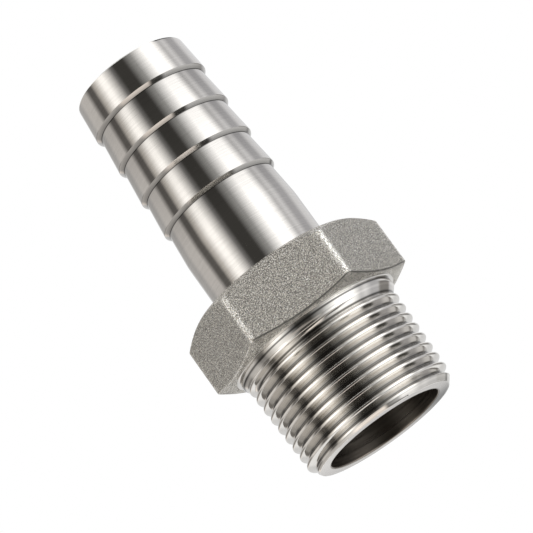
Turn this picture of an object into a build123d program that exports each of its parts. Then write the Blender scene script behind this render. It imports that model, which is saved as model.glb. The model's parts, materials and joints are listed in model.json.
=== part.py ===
from build123d import *
from math import atan, atan2, cos, degrees, radians, tan
import os

# A hose barb tail: a taper pipe thread, a hexagon for the spanner and a barbed tail that a hose
# is pushed over, all one investment casting in stainless steel, turned where it is bright.
# Millimetres. +Z runs along the axis from the threaded end, where the fitting stands, up to the
# hose end. The origin is the centre of the threaded end's face, and a flat of the hexagon faces -Y.

# Threaded end: a right-hand 3/4 inch taper pipe thread, 14 threads to the inch, 55 degree form
threads_per_inch = 14
thread_gauge_diameter = 26.441
thread_gauge_length = 9.5
thread_taper = 1 / 16
thread_form_height = 1.162
thread_flank_angle = 27.5
thread_length = 18.2
thread_start_chamfer = 1.1
thread_start_angle = 25

# Where the die stops short of the hexagon, the groove climbs out of the blank
runout_length = 2.6
runout_angle = 22
runout_end_gap = 0.5
turns_in_a_stretch = 3
collar_diameter = 27.7
collar_length = 0.6

# Hexagon
hexagon_across_flats = 30.4
hexagon_height = 10.3
hexagon_corner_radius = 0.6
hexagon_face_diameter = 29.4
thread_side_chamfer_angle = 20
hose_side_chamfer_angle = 30

# Barbed tail
tail_length = 40.2
tail_plain_diameter = 20.04
tail_end_diameter = 19.36
tail_end_chamfer = 0.25
tail_root_bevel = 1.0
barb_count = 4
barb_pitch = 6.29
barb_crest_diameter = 20.36
barb_root_diameter = 19.1
barb_back_length = 0.6
nose_length = 5.8
last_barb_cone_length = 5.5

# Way through
thread_bore_diameter = 19.5
tail_bore_diameter = 15.5
bore_cone_angle = 59
bore_cone_start = 18.2

# The thread's form, and places along the axis, all from the sizes above
thread_pitch = 25.4 / threads_per_inch
thread_land = (thread_pitch - 2 * thread_form_height * tan(radians(thread_flank_angle))) / 2
taper_angle = degrees(atan(thread_taper / 2))
hexagon_bottom = thread_length
hexagon_top = hexagon_bottom + hexagon_height
total_length = hexagon_top + tail_length
first_crest = total_length - nose_length
barb_crests = [first_crest - barb_pitch * i for i in range(barb_count)]
last_root = barb_crests[-1] - barb_back_length


def half_section(points):
    """The face between the axis and an outline of (radius, height) points, bottom to top."""
    low, high = points[0][1], points[-1][1]
    outline = Polyline([(0, low)] + points + [(0, high)], close=True)
    return Plane.XZ * make_face(outline)


def thread_crest_radius(height):
    """Radius of the thread's crests, which grows with the taper from the end to the hexagon."""
    return (thread_gauge_diameter + (height - thread_gauge_length) * thread_taper) / 2


def thread_blank():
    """The taper that the thread is cut in, chamfered where it starts, and its collar."""
    collar = collar_diameter / 2
    collar_bottom = thread_length - collar_length
    step = thread_crest_radius(collar_bottom)
    outline = [
        (thread_crest_radius(thread_start_chamfer) - thread_start_chamfer, 0),
        (thread_crest_radius(thread_start_chamfer), thread_start_chamfer),
        (step, collar_bottom - (collar - step)),
        (collar, collar_bottom),
        (collar, thread_length),
    ]
    return revolve(half_section(outline), Axis.Z)


def thread_groove(bottom, top, radius, start_angle, cone_angle):
    """One stretch of the helical groove, and the angle and radius at which it stops."""
    turn = Helix(
        pitch=thread_pitch / cos(radians(cone_angle)),
        height=top - bottom,
        radius=radius,
        center=(0, 0, bottom),
        cone_angle=cone_angle,
    )
    path = Rot(0, 0, start_angle) * turn
    start, stop = path @ 0, path @ 1
    clear = thread_form_height / 4
    slope = tan(radians(thread_flank_angle))
    mouth = (thread_pitch - thread_land) / 2 + clear * slope
    root = thread_land / 2
    form = Polyline(
        (clear, mouth), (-thread_form_height, root), (-thread_form_height, -root), (clear, -mouth), close=True
    )
    section = Plane(origin=start, x_dir=(start.X, start.Y, 0), z_dir=-(path % 0)) * make_face(form)
    groove = sweep(section, path=path, is_frenet=True)
    return groove, degrees(atan2(stop.Y, stop.X)), (stop.X**2 + stop.Y**2) ** 0.5


def threaded_end():
    """The blank with the groove cut in, a few turns at a time, then the run-out below the hexagon."""
    runout_bottom = thread_length - runout_end_gap - runout_length
    runout_top = thread_length - runout_end_gap
    end = thread_blank()
    bottom, angle = -thread_pitch, thread_start_angle
    radius = thread_crest_radius(bottom)
    stretches = round((runout_bottom - bottom) / (turns_in_a_stretch * thread_pitch))
    rise = (runout_bottom - bottom) / stretches
    for i in range(stretches):
        groove, angle, radius = thread_groove(
            bottom + i * rise, bottom + (i + 1) * rise, radius, angle, taper_angle
        )
        end -= groove
    runout, _, _ = thread_groove(runout_bottom, runout_top, radius, angle, runout_angle)
    return end - runout


def hexagon():
    """The hexagon with its corners rounded, and turned back to a cone on both sides."""
    sketch = RegularPolygon(hexagon_across_flats / 2, 6, major_radius=False)
    sketch = fillet(sketch.vertices(), hexagon_corner_radius)
    prism = extrude(Plane.XY.offset(hexagon_bottom) * sketch, hexagon_height)
    face = hexagon_face_diameter / 2
    reach = hexagon_across_flats / 2 / cos(radians(30))
    lower = (reach - face) * tan(radians(thread_side_chamfer_angle))
    upper = (reach - face) * tan(radians(hose_side_chamfer_angle))
    envelope = [
        (face, hexagon_bottom),
        (reach, hexagon_bottom + lower),
        (reach, hexagon_top - upper),
        (face, hexagon_top),
    ]
    return prism & revolve(half_section(envelope), Axis.Z)


def barbed_tail():
    """The tail: a plain stretch above the hexagon, then barbs that let a hose on but not off."""
    plain, root = tail_plain_diameter / 2, barb_root_diameter / 2
    crest, end = barb_crest_diameter / 2, tail_end_diameter / 2
    outline = [
        (plain + tail_root_bevel, hexagon_top),
        (plain, hexagon_top + tail_root_bevel),
        (plain, last_root - last_barb_cone_length),
    ]
    for height in reversed(barb_crests):
        outline += [(root, height - barb_back_length), (crest, height)]
    outline += [(end, total_length - tail_end_chamfer), (end - tail_end_chamfer, total_length)]
    return revolve(half_section(outline), Axis.Z)


def way_through():
    """The bore: wide through the thread, a cone inside the hexagon, then narrow through the tail."""
    wide, narrow = thread_bore_diameter / 2, tail_bore_diameter / 2
    cone_end = bore_cone_start + (wide - narrow) / tan(radians(bore_cone_angle))
    outline = [
        (wide, 0),
        (wide, bore_cone_start),
        (narrow, cone_end),
        (narrow, total_length),
    ]
    return revolve(half_section(outline), Axis.Z)


def hose_barb_tail():
    """The whole fitting as one solid."""
    return threaded_end() + hexagon() + barbed_tail() - way_through()


os.makedirs("parts", exist_ok=True)
export_step(hose_barb_tail(), "parts/hose_barb_tail.step")
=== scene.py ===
import json
import math

import bpy
from mathutils import Matrix, Vector


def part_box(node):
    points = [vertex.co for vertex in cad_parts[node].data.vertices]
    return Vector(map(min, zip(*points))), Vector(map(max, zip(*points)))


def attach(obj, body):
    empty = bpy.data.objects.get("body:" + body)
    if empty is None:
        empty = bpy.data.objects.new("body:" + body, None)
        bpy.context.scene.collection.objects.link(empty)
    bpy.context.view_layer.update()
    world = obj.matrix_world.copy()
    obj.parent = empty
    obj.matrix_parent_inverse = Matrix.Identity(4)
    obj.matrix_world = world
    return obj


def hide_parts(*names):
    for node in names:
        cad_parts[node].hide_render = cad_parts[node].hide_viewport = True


# A stainless steel hose barb tail: a taper pipe thread at the bottom, a cast hexagon, and a turned
# tail with barbs. The fitting stands on its threaded end, +Z is its axis, and one flat of the
# hexagon faces -Y. Sizes are in millimetres here and go to metres when a mesh is made.

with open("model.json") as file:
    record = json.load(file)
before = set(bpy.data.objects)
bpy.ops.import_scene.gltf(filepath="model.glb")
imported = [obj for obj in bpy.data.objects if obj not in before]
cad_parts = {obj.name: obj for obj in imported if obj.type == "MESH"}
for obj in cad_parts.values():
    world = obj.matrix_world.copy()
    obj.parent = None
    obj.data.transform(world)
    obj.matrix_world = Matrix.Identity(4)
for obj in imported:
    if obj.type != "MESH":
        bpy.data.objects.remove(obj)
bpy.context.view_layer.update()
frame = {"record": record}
NODE = "hose_barb_tail"
MM = 0.001

# Driving dimensions, as in the part's source
TOTAL_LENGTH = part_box(NODE)[1][2] / MM
mounts = {mount["name"]: mount for mount in frame["record"]["mounts"]}
THREAD_BORE = mounts["thread_bore"]["dims"]["r_mm"]
TAIL_BORE = mounts["tail_bore"]["dims"]["r_mm"]

# Thread: 55 degree rounded form, taper 1 in 16, right hand
INCH, THREADS_PER_INCH = 25.4, 14
PITCH = INCH / THREADS_PER_INCH
FLANK = math.radians(27.5)
# The form's height and the radius of its crests and roots follow from the pitch
HEIGHT_SHARE, RADIUS_SHARE = 0.640327, 0.137329
FORM_HEIGHT = HEIGHT_SHARE * PITCH
FORM_RADIUS = RADIUS_SHARE * PITCH
GAUGE_LENGTH, GAUGE_DIAMETER, TAPER = 9.5, 26.441, 1 / 16
THREAD_LENGTH = 18.2
# Height of the lowest crest on the +X side, where the helix is counted from
FIRST_CREST = 0.78
# Start chamfer, floor of the run-out, and cone up to the collar: where each lies, and how many
# millimetres its radius grows for one of height
RIM_RADIUS, RIM_SLOPE = 11.75, 0.8
RUNOUT_START, RUNOUT_SLOPE = 15.2, 0.75
COLLAR_RADIUS, COLLAR_BOTTOM, COLLAR_SLOPE = 13.85, 17.75, 1.6

# Hexagon
ACROSS_FLATS = 30.4
SIDE_ANGLE = math.radians(60)
HEXAGON_TOP = 28.5
CORNER_RADIUS = 1.0
FACE_RADIUS = 14.7
LOWER_CHAMFER, UPPER_CHAMFER = math.radians(20), math.radians(30)
CAST_EDGE = 0.25
# A section of the skin starts this far before the first edge that it rounds
FACE_MARGIN = 0.35

# Tail, with the rounding of each edge
PLAIN_RADIUS = 10.02
ROOT_FILLET, CONE_BLEND = 1.3, 12
BARB_COUNT, BARB_PITCH = 4, 6.29
NOSE_LENGTH, LAST_CONE = 5.8, 5.5
BARB_CREST, BARB_ROOT, BARB_BACK = 10.18, 9.55, 0.6
CREST_ROUNDING, ROOT_ROUNDING = 0.1, 0.12
TAIL_END_RADIUS, TAIL_END_ROUNDING, TAIL_LIP_ROUNDING = 9.68, 0.3, 0.25

# Way through, with the rounding of each edge. The tail's section turns in over the lip, and the
# bore's section goes on from there
BORE_CONE = math.radians(59)
CONE_TOP_ROUNDING, CONE_FOOT_ROUNDING, MOUTH_ROUNDING = 0.3, 0.2, 0.2
LIP_DEPTH, BORE_START = 2, 3
# Rings on the end face, and how far inside the chamfer the outer two lie
END_FACE_RINGS, RIM_INSETS = 3, (0.5, 0.25)

# Widths of the bright and of the dark lines: the painted highlight along the thread's crests and the
# painted shade in its roots, the hexagon's rubbed corners and its edge beside the thread, and the
# painted shade in the barbs' roots
THREAD_HIGHLIGHT, THREAD_SHADE = 0.15, 0.15
CORNER_WEAR, EDGE_LINE, EDGE_LINE_RISE = 0.5, 0.1, 0.04
BARB_SHADE = 0.09
# Of the hexagon's edges beside the thread, every third is rubbed bright and the others get painted
# shade
RUBBED_EDGES = 3
# How far off a surface a point still counts as on it: any surface, the bore's wall in the thread and
# in the tail, the hexagon's sides all together, and one side of it
CLOSE, THREAD_WALL, TAIL_WALL = 0.02, 0.1, 0.5
HEXAGON_BAND, SIDE_BAND = 0.5, 0.2

# Mesh density: columns round the axis, extra columns each side of a corner and the degrees between
# them, steps in an arc, and how far past an arc its supporting ring lies
COLUMNS = 188
CORNER_STEPS, CORNER_SPACING = 4, 0.4
ARC_STEPS, FORM_ARC_STEPS = 5, 4
SUPPORT = 0.06
# Where points lie along a straight flank of the thread, as shares of its length
FLANK_POINTS = (0.1, 0.5, 0.9)
# Points of neighbouring rings that are nearer than this are one
SAME_POINT = 0.001


def column_angles():
    """Angles round the axis, evenly spaced, with extra ones in the hexagon's rounded corners."""
    angles = {round(360 * i / COLUMNS, 4) for i in range(COLUMNS)}
    for corner in range(0, 360, 60):
        for i in range(-CORNER_STEPS, CORNER_STEPS + 1):
            angles.add(round((corner + CORNER_SPACING * i) % 360, 4))
    return [math.radians(a) for a in sorted(angles)]


def hexagon_radius(angle):
    """Distance from the axis to the hexagon's side, corners rounded."""
    half = SIDE_ANGLE / 2
    flat = ACROSS_FLATS / 2
    from_flat = abs(angle % SIDE_ANGLE - half)
    if from_flat <= math.atan2((flat - CORNER_RADIUS) * math.tan(half), flat):
        return flat / math.cos(from_flat)
    centre_distance = (flat - CORNER_RADIUS) / math.cos(half)
    off = half - from_flat
    side = centre_distance * math.sin(off)
    return centre_distance * math.cos(off) + math.sqrt(max(CORNER_RADIUS**2 - side**2, 0))


def angle_between(first, last):
    """The angle between two directions of length 1."""
    return math.acos(max(-1, min(1, first.dot(last))))


def rounded(points):
    """An outline of (radius, height, rounding) points as (radius, height), its corners as arcs.

    A point stands close to each end of an arc, so that smooth shading stays within the arc.
    """
    outline = []
    for i, (r, z, rounding) in enumerate(points):
        if rounding == 0 or i in (0, len(points) - 1):
            outline.append((r, z))
            continue
        here = Vector((r, z))
        before = (Vector(points[i - 1][:2]) - here).normalized()
        after = (Vector(points[i + 1][:2]) - here).normalized()
        half = angle_between(before, after) / 2
        reach = rounding / math.tan(half)
        centre = here + (before + after).normalized() * (rounding / math.sin(half))
        start, end = here + before * reach, here + after * reach
        first, last = start - centre, end - centre
        sweep = angle_between(first / rounding, last / rounding)
        outline.append(tuple(start + before * SUPPORT))
        for arc_step in range(ARC_STEPS + 1):
            share = arc_step / ARC_STEPS
            spoke = first * math.sin((1 - share) * sweep) + last * math.sin(share * sweep)
            outline.append(tuple(centre + spoke / math.sin(sweep)))
        outline.append(tuple(end + after * SUPPORT))
    return outline


def thread_form():
    """One pitch of the rounded thread as (height from the crest, depth below the crest line)."""
    half_arc = math.pi / 2 - FLANK
    arc = [half_arc * (i / FORM_ARC_STEPS) for i in range(FORM_ARC_STEPS + 1)]
    crest = [(FORM_RADIUS * math.sin(a), FORM_RADIUS * (1 - math.cos(a))) for a in arc]
    root = [(PITCH / 2 - h, FORM_HEIGHT - d) for h, d in reversed(crest)]
    flank = [tuple(Vector(crest[-1]).lerp(Vector(root[0]), f)) for f in FLANK_POINTS]
    rising = crest + flank + root
    falling = [(-h, d) for h, d in reversed(rising)]
    return falling[1:-1] + rising


def form_depth(height):
    """Depth below the crest line at any height from a crest."""
    height = abs((height + PITCH / 2) % PITCH - PITCH / 2)
    form = [point for point in thread_form() if point[0] >= 0] + [(PITCH / 2, FORM_HEIGHT)]
    for (h0, d0), (h1, d1) in zip(form, form[1:]):
        if height <= h1:
            return d0 + (d1 - d0) * (height - h0) / (h1 - h0)
    return FORM_HEIGHT


def thread_radius(height, depth):
    """Radius of the threaded end: taper thread, run-out towards the hexagon, and start chamfer."""
    crest_line = (GAUGE_DIAMETER + (height - GAUGE_LENGTH) * TAPER) / 2
    root_line = crest_line - FORM_HEIGHT
    runout = root_line + (height - RUNOUT_START) * RUNOUT_SLOPE
    collar = COLLAR_RADIUS - (COLLAR_BOTTOM - height) * COLLAR_SLOPE
    radius = max(crest_line - depth, runout, min(collar, COLLAR_RADIUS))
    return min(radius, RIM_RADIUS + RIM_SLOPE * height, COLLAR_RADIUS)


def thread_grid(angles):
    """Rows of the threaded end that climb with the helix, and how many rows make one turn."""
    form = thread_form()
    turns = range(-2, int(THREAD_LENGTH / PITCH) + 2)
    rows = [(FIRST_CREST + turn * PITCH + height, depth) for turn in turns for height, depth in form]
    grid = []
    rim = [thread_radius(0, form_depth(-FIRST_CREST - PITCH * angle / math.tau)) for angle in angles]
    for height, depth in rows:
        ring = []
        for angle, rim_radius in zip(angles, rim):
            z = height + PITCH * angle / math.tau
            if z <= 0:
                ring.append((rim_radius, 0))
            else:
                z = min(z, THREAD_LENGTH)
                ring.append((thread_radius(z, depth), z))
        grid.append(ring)
    return grid, len(form)


def hexagon_outline(angle):
    """The hexagon's section at an angle, from the face beside the thread to the foot of the tail."""
    side = hexagon_radius(angle)
    lower = THREAD_LENGTH + (side - FACE_RADIUS) * math.tan(LOWER_CHAMFER)
    upper = HEXAGON_TOP - (side - FACE_RADIUS) * math.tan(UPPER_CHAMFER)
    middle = (lower + upper) / 2
    return rounded([
        (FACE_RADIUS - FACE_MARGIN, THREAD_LENGTH, 0),
        (FACE_RADIUS, THREAD_LENGTH, CAST_EDGE / 2),
        (side, lower, CAST_EDGE),
        (side, middle, 0),
        (side, upper, CAST_EDGE),
        (FACE_RADIUS, HEXAGON_TOP, CAST_EDGE),
        (PLAIN_RADIUS + ROOT_FILLET + FACE_MARGIN, HEXAGON_TOP, 0),
    ])


def barb_crests():
    """Heights of the barbs' crests, from the hexagon to the hose end."""
    return [TOTAL_LENGTH - NOSE_LENGTH - BARB_PITCH * i for i in reversed(range(BARB_COUNT))]


def tail_outline():
    """The tail's section, from the fillet on the hexagon to the inner edge of the hose end."""
    points = [
        (PLAIN_RADIUS + ROOT_FILLET + FACE_MARGIN / 2, HEXAGON_TOP, 0),
        (PLAIN_RADIUS, HEXAGON_TOP, ROOT_FILLET),
        (PLAIN_RADIUS, barb_crests()[0] - BARB_BACK - LAST_CONE, CONE_BLEND),
    ]
    for crest in barb_crests():
        points += [(BARB_ROOT, crest - BARB_BACK, ROOT_ROUNDING), (BARB_CREST, crest, CREST_ROUNDING)]
    points += [
        (TAIL_END_RADIUS, TOTAL_LENGTH, TAIL_END_ROUNDING),
        (TAIL_BORE, TOTAL_LENGTH, TAIL_LIP_ROUNDING),
        (TAIL_BORE, TOTAL_LENGTH - LIP_DEPTH, 0),
    ]
    return rounded(points)


def bore_outline():
    """The way through, from just inside the hose end down to the mouth at the threaded end."""
    cone_top = THREAD_LENGTH + (THREAD_BORE - TAIL_BORE) / math.tan(BORE_CONE)
    return rounded([
        (TAIL_BORE, TOTAL_LENGTH - BORE_START, 0),
        (TAIL_BORE, cone_top, CONE_TOP_ROUNDING),
        (THREAD_BORE, THREAD_LENGTH, CONE_FOOT_ROUNDING),
        (THREAD_BORE, 0, MOUTH_ROUNDING),
        *((RIM_RADIUS - inset, 0, 0) for inset in RIM_INSETS),
    ])


ZONES = ("thread", "hexagon", "tail", "bore", "end_face")


def fitting_mesh():
    """The whole fitting as one closed skin, made of rings round the axis."""
    angles = column_angles()
    columns = len(angles)
    thread, rows_in_turn = thread_grid(angles)
    hexagon = [list(ring) for ring in zip(*[hexagon_outline(angle) for angle in angles])]
    tail = [[point] * columns for point in tail_outline()]
    bore = [[point] * columns for point in bore_outline()]
    mouth = len(bore) - END_FACE_RINGS
    zones = (
        ["thread"] * len(thread)
        + ["hexagon"] * len(hexagon)
        + ["tail"] * len(tail)
        + ["bore"] * mouth
        + ["end_face"] * END_FACE_RINGS
    )
    rings = thread + hexagon + tail + bore
    vertices, index = [], []
    for ring in rings:
        row = []
        for column, ((r, z), angle) in enumerate(zip(ring, angles)):
            point = (r * MM * math.cos(angle), r * MM * math.sin(angle), z * MM)
            if index and math.dist(point, vertices[index[-1][column]]) < SAME_POINT * MM:
                row.append(index[-1][column])
            else:
                row.append(len(vertices))
                vertices.append(point)
        index.append(row)
    last = len(thread) - 1
    faces, materials = [], []
    for row in range(len(rings)):
        above = (row + 1) % len(rings)
        for column in range(columns):
            right, low_right, high_right = column + 1, row, above
            if right == columns:
                right = 0
                if row <= last:
                    low_right = min(row + rows_in_turn, last)
                    high_right = min(above + rows_in_turn, last) if above <= last else above
            corners = dict.fromkeys((
                index[row][column], index[low_right][right],
                index[high_right][right], index[above][column],
            ))
            if len(corners) > 2:
                faces.append(tuple(corners))
                materials.append(ZONES.index(zones[row]))
    mesh = bpy.data.meshes.new("fitting")
    mesh.from_pydata(vertices, [], faces)
    mesh.polygons.foreach_set("material_index", materials)
    mesh.polygons.foreach_set("use_smooth", [True] * len(faces))
    add_wear_and_painted_light(mesh)
    return mesh


def share_near(distance, width):
    """1 on a line, falling to nothing over a width from it."""
    return math.exp(-((distance / width) ** 2))


def wear_and_painted_light(x, y, z):
    """How far a point is rubbed bright or has a painted highlight, and how much painted shade it gets.
    """
    radius, angle = math.hypot(x, y), math.atan2(y, x) % math.tau
    if z < THREAD_LENGTH - CLOSE and radius > THREAD_BORE + THREAD_WALL:
        # Painted highlight along the crests, and painted shade along the roots but not on the start
        # chamfer
        from_crest = (z - FIRST_CREST) / PITCH - angle / math.tau
        from_root = (from_crest % 1 - 0.5) * PITCH
        wear_and_highlight = share_near(PITCH / 2 - abs(from_root), THREAD_HIGHLIGHT)
        chamfered = radius > RIM_RADIUS + RIM_SLOPE * z - CLOSE
        return wear_and_highlight, 0 if chamfered else share_near(from_root, THREAD_SHADE)
    if radius > ACROSS_FLATS / 2 - HEXAGON_BAND and z < HEXAGON_TOP:
        side = hexagon_radius(angle)
        from_corner = SIDE_ANGLE / 2 - abs(angle % SIDE_ANGLE - SIDE_ANGLE / 2)
        wear_and_highlight = share_near(from_corner * radius, CORNER_WEAR) if radius > side - SIDE_BAND else 0
        edge = THREAD_LENGTH + (side - FACE_RADIUS) * math.tan(LOWER_CHAMFER)
        line = share_near(z - edge - EDGE_LINE_RISE, EDGE_LINE)
        # A line of painted shade along the edge, except on every third edge, which is rubbed bright
        if int(angle // SIDE_ANGLE) % RUBBED_EDGES == 0:
            return max(wear_and_highlight, line), 0
        return wear_and_highlight, line
    if z > HEXAGON_TOP and radius > TAIL_BORE + TAIL_WALL:
        # Painted shade in the roots of the barbs
        return 0, max(share_near(z - (crest - BARB_BACK), BARB_SHADE) for crest in barb_crests())
    return 0, 0


def add_wear_and_painted_light(mesh):
    """Marks where the surface is rubbed bright or has a painted highlight, and where painted shade
    darkens it.
    """
    marks = [wear_and_painted_light(*(c / MM for c in vertex.co)) for vertex in mesh.vertices]
    for name, values in zip(("wear_and_highlight", "painted_shade"), zip(*marks)):
        mesh.attributes.new(name, "FLOAT", "POINT").data.foreach_set("value", values)


def add(tree, kind, links=None, **settings):
    """One node with its settings; links gives the socket or value that each input takes."""
    node = tree.nodes.new(kind)
    for name, value in settings.items():
        setattr(node, name, value)
    for name, value in (links or {}).items():
        if isinstance(value, bpy.types.NodeSocket):
            tree.links.new(value, node.inputs[name])
        else:
            node.inputs[name].default_value = value
    return node


def linear(code):
    """An sRGB hex value as linear red, green, blue and alpha."""
    parts = [int(code[i : i + 2], 16) / 255 for i in (1, 3, 5)]
    return [c / 12.92 if c <= 0.04045 else ((c + 0.055) / 1.055) ** 2.4 for c in parts] + [1]


def calculate(tree, operation, *values, clamp=False):
    """The result of one sum on values."""
    links = dict(enumerate(values))
    return add(tree, "ShaderNodeMath", links, operation=operation, use_clamp=clamp).outputs[0]


def product(tree, *factors):
    """The factors multiplied together."""
    result = factors[0]
    for factor in factors[1:]:
        result = calculate(tree, "MULTIPLY", result, factor)
    return result


def between(tree, value, source, target, interpolation="LINEAR"):
    """A value taken from its place between two source values to that between two targets."""
    links = dict(zip(("Value", "From Min", "From Max", "To Min", "To Max"), (value, *source, *target)))
    return add(tree, "ShaderNodeMapRange", links, interpolation_type=interpolation).outputs[0]


def noise(tree, place, size, detail, roughness):
    """A noise whose coarsest spots measure a size in millimetres."""
    links = {"Vector": place, "Scale": 1 / size, "Detail": detail, "Roughness": roughness}
    return add(tree, "ShaderNodeTexNoise", links).outputs[0]


def marked(tree, name):
    """How strongly the mesh is marked here as worn or with a painted highlight, or with painted shade.
    """
    return add(tree, "ShaderNodeAttribute", attribute_name=name).outputs["Fac"]


def give_relief(tree, shader, height, depth, strength):
    """Makes the height stand out of the surface, at full strength by a depth in millimetres."""
    bump = add(tree, "ShaderNodeBump", {"Height": height, "Distance": depth * MM, "Strength": strength})
    tree.links.new(bump.outputs[0], shader.inputs["Normal"])


def give_colour(tree, shader, colour, shade):
    """Colours the surface, lighter and darker with the shade."""
    tint = add(tree, "ShaderNodeVectorMath", {0: linear(colour)[:3], 3: shade}, operation="SCALE")
    tree.links.new(tint.outputs[0], shader.inputs["Base Color"])


# A turned highlight is stretched across the tool's lines, a quarter turn from the way they run
ACROSS_LINES = 0.25


def steel(name, colour, roughness, anisotropy=0.0):
    """A bare stainless steel and its tree, object coordinates in millimetres, and shader."""
    material = bpy.data.materials.new(name)
    material.use_nodes = True
    tree = material.node_tree
    shader = tree.nodes["Principled BSDF"]
    shader.inputs["Base Color"].default_value = linear(colour)
    shader.inputs["Metallic"].default_value = 1
    shader.inputs["Roughness"].default_value = roughness
    shader.inputs["Anisotropic"].default_value = anisotropy
    if anisotropy:
        shader.inputs["Anisotropic Rotation"].default_value = ACROSS_LINES
        tangent = add(tree, "ShaderNodeTangent", direction_type="RADIAL", axis="Z")
        tree.links.new(tangent.outputs["Tangent"], shader.inputs["Tangent"])
    place = add(tree, "ShaderNodeTexCoord").outputs["Object"]
    in_mm = add(tree, "ShaderNodeVectorMath", {0: place, 3: 1 / MM}, operation="SCALE")
    return material, tree, in_mm.outputs[0], shader


# Lathe lines: how far they wander off true circles, their finer detail, the part of the noise that
# counts, and how far the gloss follows them
LINE_DRIFT = 0.02
LINE_DETAIL, LINE_ROUGHNESS = 3, 0.6
LINE_RANGE = (0.3, 0.7)
GLOSS_SHARES = (0.85, 1.2)
# How strongly the painted shade in the roots darkens turned steel, and how far the painted highlight
# on the thread's crests brightens it
SHADE_DARKENS, HIGHLIGHT_BRIGHTENS = 0.9, 0.25


def turned(name, colour, roughness, line_width, depth, anisotropy, contrast):
    """Steel turned on a lathe: fine lines run round the axis and stretch each highlight along it."""
    material, tree, place, shader = steel(name, colour, roughness, anisotropy)
    flat = add(tree, "ShaderNodeVectorMath", {0: place, 1: (1, 1, 0)}, operation="MULTIPLY").outputs[0]
    radius = add(tree, "ShaderNodeVectorMath", {0: flat}, operation="LENGTH").outputs["Value"]
    height = add(tree, "ShaderNodeSeparateXYZ", {0: place}).outputs["Z"]
    section = add(tree, "ShaderNodeCombineXYZ", {"X": radius, "Z": height}).outputs[0]
    drift = add(tree, "ShaderNodeVectorMath", {0: flat, 3: LINE_DRIFT}, operation="SCALE").outputs[0]
    at = add(tree, "ShaderNodeVectorMath", {0: section, 1: drift}, operation="ADD").outputs[0]
    lines = noise(tree, at, line_width, LINE_DETAIL, LINE_ROUGHNESS)
    give_relief(tree, shader, lines, depth, 1)
    gloss = between(tree, lines, LINE_RANGE, [roughness * share for share in GLOSS_SHARES])
    tree.links.new(gloss, shader.inputs["Roughness"])
    shade = between(tree, lines, LINE_RANGE, (1 - contrast, 1))
    # Painted shade in the roots of the thread and the barbs, and a painted highlight on the thread's
    # crests
    painted_light = calculate(tree, "MULTIPLY_ADD", marked(tree, "painted_shade"), -SHADE_DARKENS, 1)
    painted_light = calculate(tree, "MULTIPLY_ADD", marked(tree, "wear_and_highlight"), HIGHLIGHT_BRIGHTENS, painted_light)
    give_colour(tree, shader, colour, product(tree, shade, painted_light))
    return material


# Cast steel: dents of the grit about 0.2 mm wide as in the real one, drawn deeper than real so that
# each facet still catches the light where a pixel covers it, and pits that shade it
CAST_COLOUR, CAST_ROUGHNESS = "#D9D5CC", 0.2
GRAIN_SIZE, GRAIN_DEPTH, GRAIN_DETAIL, GRAIN_ROUGHNESS = 0.1923, 0.95, 4, 0.65
PIT_SIZE, PIT_DETAIL, PIT_ROUGHNESS = 0.1538, 3, 0.6
PIT_RANGE, PIT_SHADES = (0.36, 0.64), (0.2, 1.65)
# Rubbing takes the high spots first: how far it follows the shades, and how much of it is even
WEAR_ON_SHADES, EVEN_WEAR = 0.6, 0.45
# What full rubbing takes off the relief and adds to the brightness, and what painted shade takes in the
# pits
WEAR_FLATTENS, WEAR_LIGHTENS, SHADE_IN_PITS = 0.78, 0.45, 1.6


def cast(name):
    """Investment-cast steel, blasted with grit: a grey grain with bright facets, rubbed corners, edges
    in painted shade.
    """
    material, tree, place, shader = steel(name, CAST_COLOUR, CAST_ROUGHNESS)
    grain = noise(tree, place, GRAIN_SIZE, GRAIN_DETAIL, GRAIN_ROUGHNESS)
    pits = noise(tree, place, PIT_SIZE, PIT_DETAIL, PIT_ROUGHNESS)
    shade = between(tree, pits, PIT_RANGE, PIT_SHADES)
    patchy = calculate(tree, "MULTIPLY_ADD", shade, WEAR_ON_SHADES, EVEN_WEAR)
    worn = calculate(tree, "MULTIPLY", marked(tree, "wear_and_highlight"), patchy, clamp=True)
    relief = calculate(tree, "MULTIPLY_ADD", worn, -WEAR_FLATTENS, 1)
    give_relief(tree, shader, grain, GRAIN_DEPTH, relief)
    rubbed = calculate(tree, "MULTIPLY_ADD", worn, WEAR_LIGHTENS, shade)
    # Painted shade along the hexagon's edge beside the thread, darkest in the pits
    ragged = product(tree, marked(tree, "painted_shade"), pits)
    painted_light = calculate(tree, "MULTIPLY_ADD", ragged, -SHADE_IN_PITS, 1, clamp=True)
    give_colour(tree, shader, CAST_COLOUR, product(tree, rubbed, painted_light))
    return material


# Each turned finish: name, colour, roughness, width and depth of the tool's lines in millimetres,
# stretch of the highlight, and how much darker the lines are. The lines are drawn two to three times
# as wide as the tool leaves them, since a pixel of the photograph covers 0.15 mm.
FINISHES = {
    # Cut with a threading tool: smooth flanks, bright and dark by turns like a mirror's
    "thread": turned("screwcut stainless steel", "#E2DFDA", 0.08, 0.12, 0.0015, 0.3, 0.1),
    # Cast and blasted: a matt, grainy grey with small glints
    "hexagon": cast("blasted cast stainless steel"),
    # Turned with a fine feed: long soft bands of light along the tail, with thin rings across them
    "tail": turned("turned stainless steel", "#D7D4D0", 0.1, 0.1, 0.0025, 0.6, 0.15),
    # Bored with a coarse feed and left, with plain rings; its colour is darkened as painted shade
    # inside the bore
    "bore": turned("bored stainless steel", "#8C857C", 0.3, 0.3, 0.01, 0.5, 0.2),
    # Faced: circles on a flat face that shines softly
    "end_face": turned("faced stainless steel", "#D6D3CF", 0.25, 0.2, 0.004, 0.5, 0.1),
}


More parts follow.
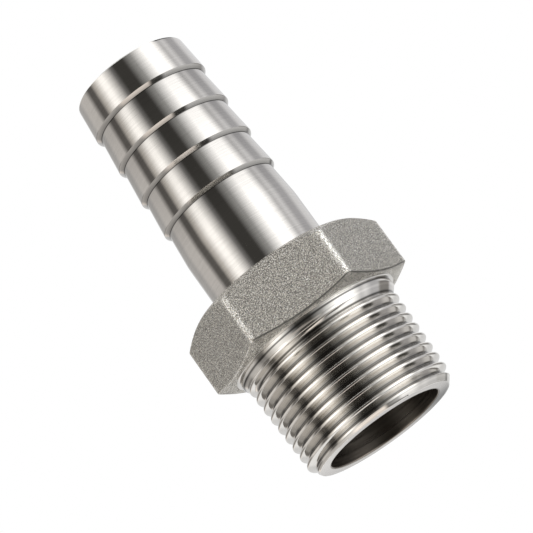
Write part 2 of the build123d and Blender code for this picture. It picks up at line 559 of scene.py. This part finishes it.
def make_fitting():
    """The finished fitting, which stands for the plain solid."""
    mesh = fitting_mesh()
    for zone in ZONES:
        mesh.materials.append(FINISHES[zone])
    fitting = bpy.data.objects.new("fitting", mesh)
    bpy.context.scene.collection.objects.link(fitting)
    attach(fitting, "root")
    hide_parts(NODE)
    return fitting


# Camera: below the fitting and to its front, turned so that the axis leans across the picture.
# The lens and the sensor are in millimetres too.
TARGET = (-0.155, 0, 31.1)
CAMERA_DISTANCE = 415.4
CAMERA_AZIMUTH, CAMERA_ELEVATION = math.radians(-1.8), math.radians(-14.9)
CAMERA_ROLL = math.radians(35.88)
FOCAL_LENGTH, SENSOR_WIDTH = 184.2, 36


def add_camera():
    """A long lens at the photograph's viewing angle."""
    back = Vector((
        math.sin(CAMERA_AZIMUTH) * math.cos(CAMERA_ELEVATION),
        -math.cos(CAMERA_AZIMUTH) * math.cos(CAMERA_ELEVATION),
        math.sin(CAMERA_ELEVATION),
    ))
    data = bpy.data.cameras.new("camera")
    data.lens, data.sensor_width = FOCAL_LENGTH, SENSOR_WIDTH
    camera = bpy.data.objects.new("camera", data)
    camera.location = (Vector(TARGET) + back * CAMERA_DISTANCE) * MM
    level = back.to_track_quat("Z", "Y").to_matrix()
    camera.rotation_euler = (Matrix.Rotation(CAMERA_ROLL, 3, -back) @ level).to_euler()
    bpy.context.scene.collection.objects.link(camera)
    bpy.context.scene.camera = camera


# The studio's cards stand in a fan that opens from a point behind the fitting and a little below
# it, where 1 is the studio's radius. A turned surface shows them by the way that it faces.
FAN_BACK, FAN_BELOW = 0.966, 0.257
# Cards and flags of the fan: each from one bearing to another, in degrees from the front towards
# -X, with its brightness and tint. The light between two of them changes evenly.
CARDS = [
    (-90, -80, 0.75, "#F6F6F8"),
    (-75, -65, 0.95, "#F6F6F8"),
    (-58.5, -52, 0.60, "#F4F4F8"),
    (-46.5, -45.5, 0.97, "#F6F6F8"),
    (-42, -41, 0.80, "#F6F6F8"),
    (-33.5, -22.5, 1.80, "#FFFFFF"),
    (-10, -9, 0.42, "#F6F6F4"),
    (-2, 8, 0.065, "#F2EEE6"),
    (11, 11.5, 0.22, "#F6F4F2"),
    (22, 25.5, 1.60, "#FFFDFA"),
    (34, 34.5, 0.64, "#FAF4EC"),
    (38, 43, 0.15, "#F6F0EA"),
    (49, 60, 0.72, "#FAF6F2"),
    (66.5, 90, 0.53, "#FAF8F6"),
]
# What the undersides of the barbs see: -X side to +X side, where 1 is level with the side
UNDER_CARDS = [
    (-1.0, -0.52, 0.75, "#F8F8F8"),
    (-0.45, -0.26, 0.07, "#F2EEE6"),
    (-0.18, 0.40, 1.10, "#FFF6EE"),
    (0.50, 1.0, 0.55, "#FAF6F2"),
]
# A soft edge is given as where the light starts to change and where the change is complete.
# Dark flags before the cards: brightness, tint, soft edge of the height, where 1 is straight up, and
# soft edges of the bearing in radians
FLAGS = [
    (0.08, "#FFFFF8", (0.48, 0.53), (-0.62, -0.7), (-1.2, -1.1)),
    (0.24, "#FFFAF5", (0.2, 0.1), (1.0, 1.14)),
    (0.24, "#FFFAF5", (0.2, 0.1), (-1.02, -1.1), (-1.4, -1.3)),
]
# Slopes down from the fan's point, at which the cards give way to those below and these to white
UNDER_TOP, UNDER_BOTTOM, GROUND_TOP = (-0.75, -0.9), (-1.6, -1.4), (-1.5, -1.7)
# The light behind the fitting and the light overhead
BACK_EDGE, BACK_LIGHT = (-0.88, -0.94), 0.75
OVERHEAD_EDGE, OVERHEAD_LIGHT = (0.86, 0.94), 1.1
WHITE = "#FFFFFF"


def shining(level, tint):
    """The light of a card: its tint at its brightness."""
    return [c * level for c in linear(tint)[:3]] + [1]


def card_ramp(tree, place, cards, ends):
    """The colour of a row of cards at a place between the row's two ends."""
    ramp = add(tree, "ShaderNodeValToRGB", {"Fac": between(tree, place, ends, (0, 1))})
    stops = ramp.color_ramp.elements
    stops.remove(stops[-1])
    edges = [(edge, level, tint) for start, end, level, tint in cards for edge in (start, end)]
    for i, (edge, level, tint) in enumerate(edges):
        position = (edge - cards[0][0]) / (cards[-1][1] - cards[0][0])
        stop = stops[0] if i == 0 else stops.new(position)
        stop.position = position
        stop.color = shining(level, tint)
    return ramp.outputs["Color"]


def past(tree, value, edge):
    """0 before a soft edge and 1 past it, eased."""
    return between(tree, value, edge, (0, 1), "SMOOTHSTEP")


def light_studio():
    """Soft white cards and dark flags round the fitting; the camera itself sees plain white."""
    world = bpy.data.worlds.new("studio")
    bpy.context.scene.world = world
    world.use_nodes = True
    tree = world.node_tree
    tree.nodes.clear()
    direction = add(tree, "ShaderNodeTexCoord").outputs["Generated"]
    axes = add(tree, "ShaderNodeSeparateXYZ", {0: direction})
    up = axes.outputs["Z"]
    side, front = (calculate(tree, "MULTIPLY", axes.outputs[axis], -1) for axis in "XY")
    ahead = calculate(tree, "ADD", front, FAN_BACK)
    bearing = calculate(tree, "ARCTAN2", side, ahead)
    out = add(tree, "ShaderNodeCombineXYZ", {"X": side, "Y": ahead}).outputs[0]
    out = add(tree, "ShaderNodeVectorMath", {0: out}, operation="LENGTH").outputs["Value"]
    slope = calculate(tree, "DIVIDE", calculate(tree, "SUBTRACT", up, FAN_BELOW), out)
    zones = []
    for level, tint, height, *bearings in FLAGS:
        edges = [past(tree, bearing, edge) for edge in bearings]
        zones.append((shining(level, tint), product(tree, past(tree, up, height), *edges)))
    under = card_ramp(tree, side, UNDER_CARDS, (-1, 1))
    zones += [
        (under, product(tree, past(tree, slope, UNDER_TOP), past(tree, slope, UNDER_BOTTOM))),
        (linear(WHITE), past(tree, slope, GROUND_TOP)),
        (shining(BACK_LIGHT, WHITE), past(tree, front, BACK_EDGE)),
        (shining(OVERHEAD_LIGHT, WHITE), past(tree, up, OVERHEAD_EDGE)),
    ]
    light = card_ramp(tree, bearing, CARDS, (-math.pi / 2, math.pi / 2))
    for colour, share in zones:
        light = add(tree, "ShaderNodeMix", {0: share, 6: light, 7: colour}, data_type="RGBA").outputs[2]
    studio = add(tree, "ShaderNodeBackground", {"Color": light})
    plain = add(tree, "ShaderNodeBackground", {"Color": linear(WHITE)})
    ray = add(tree, "ShaderNodeLightPath")
    seen = add(tree, "ShaderNodeMixShader", {
        0: ray.outputs["Is Camera Ray"], 1: studio.outputs[0], 2: plain.outputs[0],
    })
    add(tree, "ShaderNodeOutputWorld", {"Surface": seen.outputs[0]})


# The floor's side, and how far below the fitting it lies so that the two never share a plane
FLOOR_SIDE, FLOOR_DROP = 800, 0.02
FLOOR_ROUGHNESS = 0.9


def add_floor():
    """A pale floor that shows from above and that a view from below looks through."""
    half = FLOOR_SIDE / 2 * MM
    mesh = bpy.data.meshes.new("floor")
    corners = [(-half, -half, 0), (half, -half, 0), (half, half, 0), (-half, half, 0)]
    mesh.from_pydata(corners, [], [(0, 1, 2, 3)])
    floor = bpy.data.objects.new("floor", mesh)
    floor.location.z = -FLOOR_DROP * MM
    material = bpy.data.materials.new("pale matt floor")
    material.use_nodes = True
    tree = material.node_tree
    paint = tree.nodes["Principled BSDF"]
    paint.inputs["Base Color"].default_value = linear("#F2F2F1")
    paint.inputs["Roughness"].default_value = FLOOR_ROUGHNESS
    side = add(tree, "ShaderNodeNewGeometry")
    clear = add(tree, "ShaderNodeBsdfTransparent")
    seen = add(tree, "ShaderNodeMixShader", {
        0: side.outputs["Backfacing"], 1: paint.outputs[0], 2: clear.outputs[0],
    })
    tree.links.new(seen.outputs[0], tree.nodes["Material Output"].inputs["Surface"])
    mesh.materials.append(material)
    bpy.context.scene.collection.objects.link(floor)
    for ray in ("glossy", "diffuse", "transmission", "shadow"):
        setattr(floor, f"visible_{ray}", False)


add_camera()
make_fitting()
add_floor()
light_studio()
bpy.context.scene.view_settings.view_transform = "Standard"
